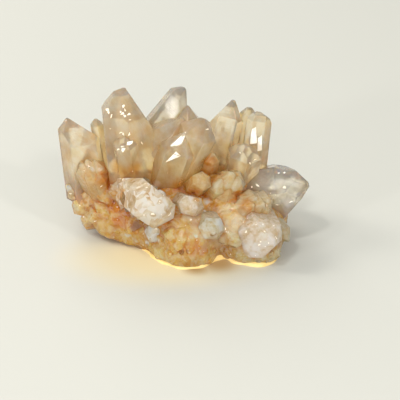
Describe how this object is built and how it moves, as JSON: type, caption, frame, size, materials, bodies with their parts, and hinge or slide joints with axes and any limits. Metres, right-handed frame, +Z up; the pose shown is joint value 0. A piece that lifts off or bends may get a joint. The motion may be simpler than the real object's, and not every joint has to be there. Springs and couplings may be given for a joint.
{
  "type": "clear quartz crystal cluster",
  "caption": "Natural cluster of intergrown six-sided clear quartz crystals standing on a rough iron-stained base that is cut flat underneath.",
  "frame": {"origin": "middle of the cluster's bounding box, on the flat cut foot", "axes": "+X along the longest side of the cluster, +Y towards its back, +Z up out of the foot"},
  "size_m": [0.0998, 0.0648, 0.0623],
  "materials": {
    "matrix": "rough, iron-stained amber and orange",
    "crystals": "clear, glossy, faintly warm"
  },
  "bodies": {
    "root": {"matrix": "matrix", "crystals": "crystals"}
  },
  "joints": []
}
